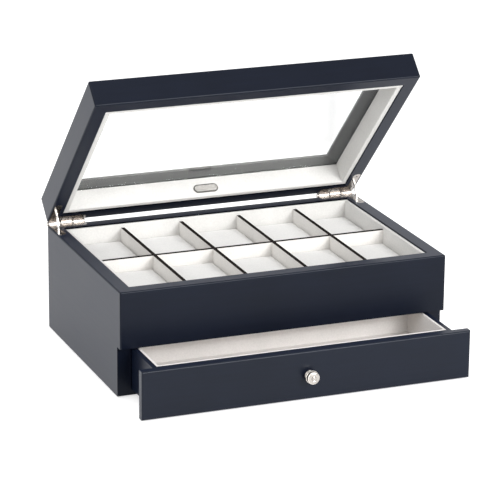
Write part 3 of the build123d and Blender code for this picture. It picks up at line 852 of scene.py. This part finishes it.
@dataclass
class HingeScrews:
    """The eight countersunk screws of two leaves, set out by Geometry Nodes."""

    body: str
    node: str
    into_lid: bool
    head_radius: float = 2.3 * MM
    shank_radius: float = 1.1 * MM
    sink: float = 1.2 * MM
    shank: float = 7.2 * MM
    tip_radius: float = 0.2 * MM
    head_sides: int = 40
    shank_sides: int = 24
    recess_length: float = 2.9 * MM
    recess_width: float = 0.62 * MM
    recess_depth: float = 0.7 * MM
    sharp: float = 28.0
    side_leg_x: float = 5.3 * MM
    side_leg: tuple[float, float] = (8.0 * MM, 27.2 * MM)
    back_leg_y: float = 4.2 * MM
    back_leg: tuple[float, float] = (20.0 * MM, 33.4 * MM)

    def spots(self) -> list[Vector]:
        """Return the middle of each head in the closed box."""
        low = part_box("side_panel_left")[0]
        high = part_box("side_panel_right")[1]
        level = 2 * HINGE.pivot.z - high.z if self.into_lid else high.z
        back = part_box("back_panel")[1].y
        corners = [(self.side_leg_x, forward) for forward in self.side_leg]
        corners += [(across, self.back_leg_y) for across in self.back_leg]
        left = [Vector((low.x + across, back - forward, level)) for across, forward in corners]
        return left + [Vector((high.x + low.x - spot.x, spot.y, spot.z)) for spot in left]

    def sizes(self) -> dict[str, float]:
        """Return the screw's sizes under the names that the tree gives them."""
        return {
            "Head Radius": self.head_radius,
            "Shank Radius": self.shank_radius,
            "Sink": self.sink,
            "Shank": self.shank,
            "Recess Length": self.recess_length,
            "Recess Width": self.recess_width,
            "Recess Depth": 2 * self.recess_depth,
        }

    def tree(self, finish: Finish) -> bpy.types.NodeTree:
        """Write the tree that puts one screw on each point.

        Args:
            finish: the screws' finish.

        Returns:
            The Geometry Nodes tree, with its sizes as named inputs.
        """
        tree = bpy.data.node_groups.new(f"{self.node}_layout", "GeometryNodeTree")
        interface = tree.interface
        interface.new_socket("Geometry", in_out="INPUT", socket_type="NodeSocketGeometry")
        for name in self.sizes():
            interface.new_socket(name, in_out="INPUT", socket_type="NodeSocketFloat")
        interface.new_socket("Turn", in_out="INPUT", socket_type="NodeSocketRotation")
        interface.new_socket("Geometry", in_out="OUTPUT", socket_type="NodeSocketGeometry")
        nodes, links = tree.nodes, tree.links
        given = nodes.new("NodeGroupInput").outputs

        def make(kind: str, **inputs: object) -> bpy.types.NodeSocket:
            """Make a node and feed its inputs, named with underscores for spaces."""
            node = nodes.new(kind)
            for name, value in inputs.items():
                socket = node.inputs[name.replace("_", " ")]
                if isinstance(value, bpy.types.NodeSocket):
                    links.new(value, socket)
                else:
                    socket.default_value = value
            return node.outputs[0]

        def lower(form: bpy.types.NodeSocket, way: bpy.types.NodeSocket) -> bpy.types.NodeSocket:
            """Move a form along Z."""
            shift = make("ShaderNodeCombineXYZ", Z=way)
            return make("GeometryNodeTransform", Geometry=form, Translation=shift)

        head = make(
            "GeometryNodeMeshCone",
            Vertices=self.head_sides,
            Radius_Top=given["Head Radius"],
            Radius_Bottom=given["Shank Radius"],
            Depth=given["Sink"],
        )
        stem = make(
            "GeometryNodeMeshCone",
            Vertices=self.shank_sides,
            Radius_Top=given["Shank Radius"],
            Radius_Bottom=self.tip_radius,
            Depth=given["Shank"],
        )
        # A cone stands on its base, so the head is brought down until its top lies on the
        # point, and the shank until its top meets the head's underside.
        sunk = math_node(tree, "MULTIPLY", given["Sink"], -1.0)
        deep = math_node(tree, "SUBTRACT", sunk, given["Shank"])
        placed_head, placed_stem = lower(head, sunk), lower(stem, deep)
        recess = make(
            "ShaderNodeCombineXYZ",
            X=given["Recess Length"],
            Y=given["Recess Width"],
            Z=given["Recess Depth"],
        )
        bar = make("GeometryNodeMeshCube", Size=recess)
        cuts = nodes.new("GeometryNodeJoinGeometry")
        for angle in (math.pi / 4, 3 * math.pi / 4):
            cut = make("GeometryNodeTransform", Geometry=bar, Rotation=(0.0, 0.0, angle))
            links.new(cut, cuts.inputs[0])
        carved = nodes.new("GeometryNodeMeshBoolean")
        carved.operation = "DIFFERENCE"
        carved.solver = "EXACT"
        carved.inputs["Self Intersection"].default_value = True
        links.new(placed_head, carved.inputs["Mesh 1"])
        links.new(cuts.outputs[0], carved.inputs["Mesh 2"])
        screw = nodes.new("GeometryNodeJoinGeometry")
        links.new(carved.outputs[0], screw.inputs[0])
        links.new(placed_stem, screw.inputs[0])
        spread = make(
            "GeometryNodeInstanceOnPoints",
            Points=given["Geometry"],
            Instance=screw.outputs[0],
            Rotation=given["Turn"],
        )
        solid = make("GeometryNodeRealizeInstances", Geometry=spread)
        coated = make("GeometryNodeSetMaterial", Geometry=solid, Material=finish.material())
        links.new(coated, nodes.new("NodeGroupOutput").inputs[0])
        return tree

    def build(self) -> bpy.types.Object:
        """Set the screws out and make them a plain mesh.

        Returns:
            The screws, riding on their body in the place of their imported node.
        """
        turn = HINGE.turn() if self.into_lid else Matrix.Identity(4)
        mesh = bpy.data.meshes.new(f"{self.node}_points")
        mesh.from_pydata([turn @ spot for spot in self.spots()], [], [])
        piece = link_mesh(f"{self.node}_made", mesh)
        tree = self.tree(NICKEL)
        modifier = piece.modifiers.new("layout", "NODES")
        modifier.node_group = tree
        tilt = math.pi - HINGE.opened if self.into_lid else 0.0
        values = {**self.sizes(), "Turn": (tilt, 0.0, 0.0)}
        for socket in tree.interface.items_tree:
            if socket.in_out == "INPUT" and socket.name in values:
                modifier[socket.identifier] = values[socket.name]
        plain_mesh(piece)
        smooth(piece, self.sharp)
        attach(piece, self.body)
        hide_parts(self.node)
        return piece


@dataclass
class WatchCushion:
    """One padded cushion: suede drawn over a block of foam, sewn along its edges."""

    row: str
    number: int
    cell: float = 2.6 * MM
    crown: float = 1.5 * MM
    drawn_in: float = 0.7 * MM
    corner: float = 2.6 * MM
    coincident: float = 1e-9
    edge: float = 1.9 * MM
    edge_draw: float = 0.45
    waves_per_metre: float = 70.0
    wave_height: float = 0.25 * MM
    wave_step: float = 7.3
    foot_share: float = 0.02
    foot_gap: float = 0.02 * MM
    seam_hold: float = 0.8
    slack: float = 0.25 * MM
    most: float = 1.2 * MM
    frames: int = 14
    CLOTH: ClassVar[dict[str, object]] = {
        "quality": 6,
        "mass": 0.15,
        "tension_stiffness": 12,
        "compression_stiffness": 12,
        "bending_stiffness": 0.6,
        "use_pressure": True,
        "uniform_pressure_force": 3.0,
        "vertex_group_mass": "sewn",
        "shrink_min": -0.012,
    }

    @property
    def name(self) -> str:
        """Return the name of the cushion's node, which is its body's too."""
        return f"cushion_{self.row}_{self.number}"

    def build(self) -> bpy.types.Object:
        """Make the cushion and set it in its compartment.

        Returns:
            The cushion, riding on its own body.
        """
        low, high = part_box(self.name)
        piece = link_mesh(f"{self.name}_padded", self.block(low, high))
        self.inflate(piece, low, high)
        rounding = piece.modifiers.new("round", "SUBSURF")
        rounding.levels = rounding.render_levels = 1
        plain_mesh(piece)
        piece.data.shade_smooth()
        CUSHION_SUEDE.dress(piece)
        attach(piece, self.name)
        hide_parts(self.name)
        return piece

    def block(self, low: Vector, high: Vector) -> bpy.types.Mesh:
        """Make the block before it fills out: crowned, drawn in, all in small squares.

        Args:
            low: the lowest corner of the cushion's place.
            high: its highest corner.

        Returns:
            The closed mesh.
        """
        size = high - low
        counts = [max(2, round(length / self.cell)) for length in size]
        form = bmesh.new()
        corners: dict[tuple[int, int, int], bmesh.types.BMVert] = {}

        def point(i: int, j: int, k: int) -> bmesh.types.BMVert:
            """Return the vertex at a grid place on the block's skin."""
            if (i, j, k) not in corners:
                share = Vector((i / counts[0], j / counts[1], k / counts[2]))
                corners[(i, j, k)] = form.verts.new(self.shaped(share, low, size))
            return corners[(i, j, k)]

        for first, second, fixed in ((0, 1, 2), (1, 2, 0), (2, 0, 1)):
            for end in (0, counts[fixed]):
                for a in range(counts[first]):
                    for b in range(counts[second]):
                        ring = []
                        for da, db in ((0, 0), (1, 0), (1, 1), (0, 1)):
                            place = [0, 0, 0]
                            place[first], place[second], place[fixed] = a + da, b + db, end
                            ring.append(point(*place))
                        form.faces.new(ring if end else ring[::-1])
        bmesh.ops.recalc_face_normals(form, faces=form.faces)
        mesh = bpy.data.meshes.new(self.name)
        form.to_mesh(mesh)
        form.free()
        return mesh

    def shaped(self, share: Vector, low: Vector, size: Vector) -> Vector:
        """Place a point of the block's skin.

        Args:
            share: its place as shares of the block's three lengths.
            low: the block's lowest corner.
            size: the block's lengths.

        Returns:
            The point, in the frame that all pieces share.
        """
        half = size / 2
        middle = low + half
        signed = Vector([2 * value - 1 for value in share])
        bulge = [1 - signed[axis] ** 2 for axis in range(3)]
        top = size.z - self.crown * (1 - bulge[0] * bulge[1])
        offset = Vector((signed.x * half.x, signed.y * half.y, share.z * top))
        # The upright corners are rounded by drawing each point towards an inner box.
        inner = Vector((half.x - self.corner, half.y - self.corner))
        held = Vector([max(-inner[axis], min(inner[axis], offset[axis])) for axis in (0, 1)])
        out = offset.xy - held
        if out.length > self.coincident:
            reach = max(abs(out.x), abs(out.y))
            offset.xy = held + out.normalized() * reach
        # The edges round the top and the foot are rounded by drawing the skin inward.
        nearness = max(0.0, 1 - (top - offset.z) / self.edge) if share.z > 0.5 else 0.0
        foot = max(0.0, 1 - offset.z / self.edge)
        nearest = min(1.0, max(nearness, foot))
        inward = self.edge * (1 - math.sqrt(1 - nearest ** 2)) * self.edge_draw
        spot = Vector((offset.x, offset.y, offset.z + self.wave_step * self.number))
        wave = noise.noise(spot * self.waves_per_metre)
        offset.x *= 1 - (inward + self.drawn_in * bulge[1] * (1 - abs(signed.z))) / half.x
        offset.y *= 1 - (inward + self.drawn_in * bulge[0] * (1 - abs(signed.z))) / half.y
        offset.z += self.wave_height * wave * bulge[0] * bulge[1]
        return Vector((middle.x + offset.x, middle.y + offset.y, low.z + offset.z))

    def inflate(self, piece: bpy.types.Object, low: Vector, high: Vector) -> None:
        """Fill the block out with Cloth, held along its sewn edges and kept in its place.

        Args:
            piece: the block, whose mesh is changed.
            low: the lowest corner that it may reach.
            high: the highest corner that it may reach.
        """
        size = high - low
        held = piece.vertex_groups.new(name="sewn")
        for vertex in piece.data.vertices:
            share = [(vertex.co[axis] - low[axis]) / size[axis] for axis in range(3)]
            deep = [min(value, 1 - value) * length for value, length in zip(share, size)]
            at_foot = share[2] < self.foot_share
            if at_foot or sum(depth < self.cell for depth in deep) >= 2:
                held.add([vertex.index], 1.0 if at_foot else self.seam_hold, "REPLACE")
        start = [vertex.co.copy() for vertex in piece.data.vertices]
        cloth = piece.modifiers.new("filling", "CLOTH")
        for name, value in self.CLOTH.items():
            setattr(cloth.settings, name, value)
        cloth.settings.effector_weights.gravity = 0
        scene = bpy.context.scene
        cloth.point_cache.frame_start, cloth.point_cache.frame_end = 1, self.frames
        for step in range(1, self.frames + 1):
            scene.frame_set(step)
        graph = bpy.context.evaluated_depsgraph_get()
        filled = [vertex.co.copy() for vertex in piece.evaluated_get(graph).data.vertices]
        piece.modifiers.clear()
        scene.frame_set(1)
        for vertex, before, after in zip(piece.data.vertices, start, filled):
            shift = after - before
            if shift.length > self.most:
                shift *= self.most / shift.length
            goal = before + shift
            for axis in range(3):
                least, furthest = low[axis] + self.foot_gap, high[axis] + self.slack
                goal[axis] = max(least, min(furthest, goal[axis]))
            vertex.co = goal
        piece.vertex_groups.clear()


@dataclass(frozen=True)
class Lamp:
    """One soft area lamp."""

    name: str
    place: Triple
    size: float
    watts: float

    def hang(self, aim: Vector) -> None:
        """Put the lamp into the scene, turned to a point."""
        light = bpy.data.lights.new(self.name, "AREA")
        light.shape = "DISK"
        light.size = self.size
        light.energy = self.watts
        lamp = bpy.data.objects.new(self.name, light)
        bpy.context.scene.collection.objects.link(lamp)
        lamp.location = self.place
        lamp.rotation_euler = (aim - Vector(self.place)).to_track_quat("-Z", "Y").to_euler()


@dataclass
class Studio:
    """The floor, the light and the camera of the photograph."""

    azimuth: float = math.radians(-21.785)
    elevation: float = math.radians(17.842)
    roll: float = math.radians(0.563)
    distance: float = 2.5574
    target: Vector = field(default_factory=lambda: Vector((0, -6.3 * MM, 100.4 * MM)))
    shift_right: float = 3.545 * MM
    shift_up: float = -6.020 * MM
    lens: float = 196.9
    sensor: float = 36.0
    clip: tuple[float, float] = (0.1, 50.0)
    floor_half: float = 9.0
    floor_grey: float = 0.88
    floor_glow: float = 0.55
    world_fill: float = 0.50
    lamp_aim: Triple = (0.0, 0.0, 0.08)
    lamps: tuple[Lamp, ...] = (
        Lamp("key_lamp", (0.7, -1.9, 1.0), size=1.2, watts=38.0),
        Lamp("edge_lamp", (0.8, -1.85, 1.0), size=0.25, watts=5.0),
        Lamp("fill_lamp", (-1.5, -1.1, 0.9), size=1.5, watts=11.5),
        Lamp("top_lamp", (-0.35, 0.15, 1.9), size=1.4, watts=11.0),
    )

    def camera(self) -> None:
        """Set the camera up as the photograph was taken."""
        a, e = self.azimuth, self.elevation
        back = Vector((math.sin(a) * math.cos(e), -math.cos(a) * math.cos(e), math.sin(e)))
        level = Vector((math.cos(a), math.sin(a), 0))
        upright = back.cross(level)
        right = math.cos(self.roll) * level + math.sin(self.roll) * upright
        up = math.cos(self.roll) * upright - math.sin(self.roll) * level
        data = bpy.data.cameras.new("camera")
        data.lens = self.lens
        data.sensor_width = self.sensor
        data.clip_start, data.clip_end = self.clip
        camera = bpy.data.objects.new("camera", data)
        bpy.context.scene.collection.objects.link(camera)
        turn = Matrix((right, up, back)).transposed().to_4x4()
        place = self.target + back * self.distance + right * self.shift_right
        place += up * self.shift_up
        camera.matrix_world = Matrix.Translation(place) @ turn
        bpy.context.scene.camera = camera

    @staticmethod
    def seen(tree: bpy.types.NodeTree) -> bpy.types.NodeSocket:
        """Return 1 for the camera's rays, also by way of a reflection or through glass."""
        path = tree.nodes.new("ShaderNodeLightPath").outputs
        total = path["Is Camera Ray"]
        for name in ("Is Glossy Ray", "Is Transmission Ray"):
            total = math_node(tree, "MAXIMUM", total, path[name])
        return total

    def floor(self) -> None:
        """Lay the pale floor, which glows to the camera and still takes the shadow."""
        mesh = bpy.data.meshes.new("floor")
        h = self.floor_half
        mesh.from_pydata([(-h, -h, 0), (h, -h, 0), (h, h, 0), (-h, h, 0)], [], [(0, 1, 2, 3)])
        floor = link_mesh("floor", mesh)
        material = bpy.data.materials.new("pale_floor")
        material.use_nodes = True
        tree = material.node_tree
        nodes, links = tree.nodes, tree.links
        nodes.clear()
        diffuse = nodes.new("ShaderNodeBsdfDiffuse")
        diffuse.inputs["Color"].default_value = rgba((self.floor_grey,) * 3)
        glow = nodes.new("ShaderNodeEmission")
        strength = math_node(tree, "MULTIPLY", self.seen(tree), self.floor_glow)
        links.new(strength, glow.inputs["Strength"])
        both = nodes.new("ShaderNodeAddShader")
        links.new(diffuse.outputs[0], both.inputs[0])
        links.new(glow.outputs[0], both.inputs[1])
        links.new(both.outputs[0], nodes.new("ShaderNodeOutputMaterial").inputs["Surface"])
        floor.data.materials.append(material)

    def world(self) -> None:
        """Surround the scene with white that lights it more gently than it shows."""
        world = bpy.data.worlds.new("pale_room")
        world.use_nodes = True
        tree = world.node_tree
        nodes, links = tree.nodes, tree.links
        nodes.clear()
        room = nodes.new("ShaderNodeBackground")
        room.inputs["Color"].default_value = (1, 1, 1, 1)
        fill = self.world_fill
        strength = math_node(tree, "MULTIPLY_ADD", self.seen(tree), 1 - fill, fill)
        links.new(strength, room.inputs["Strength"])
        links.new(room.outputs[0], nodes.new("ShaderNodeOutputWorld").inputs["Surface"])
        bpy.context.scene.world = world

    def build(self) -> None:
        """Set up the whole studio."""
        bpy.context.scene.view_settings.view_transform = "Standard"
        for lamp in self.lamps:
            lamp.hang(Vector(self.lamp_aim))
        self.camera()
        self.floor()
        self.world()


def main() -> None:
    """Build and dress every sub-assembly, and report each piece."""
    logging.basicConfig(level=logging.INFO, format="%(name)s: %(message)s")
    arms = [StayArm(f"stay_arm_{side}") for side in ("left", "right")]
    assemblies: list[Assembly] = [Case(), Lid(), *arms, Drawer()]
    for assembly in assemblies:
        assembly.dress()
        for piece in assembly.build():
            log.info("%s: made %s", assembly.body, piece.name)
    for screws in (
        HingeScrews("case", "case_hinge_screws", into_lid=False),
        HingeScrews("lid", "lid_hinge_screws", into_lid=True),
    ):
        log.info("%s: made %s", screws.body, screws.build().name)
    for row in ("back", "front"):
        for number in range(1, 6):
            cushion = WatchCushion(row, number)
            log.info("%s: made %s", cushion.name, cushion.build().name)
    Studio().build()


if __name__ == "__main__":
    main()
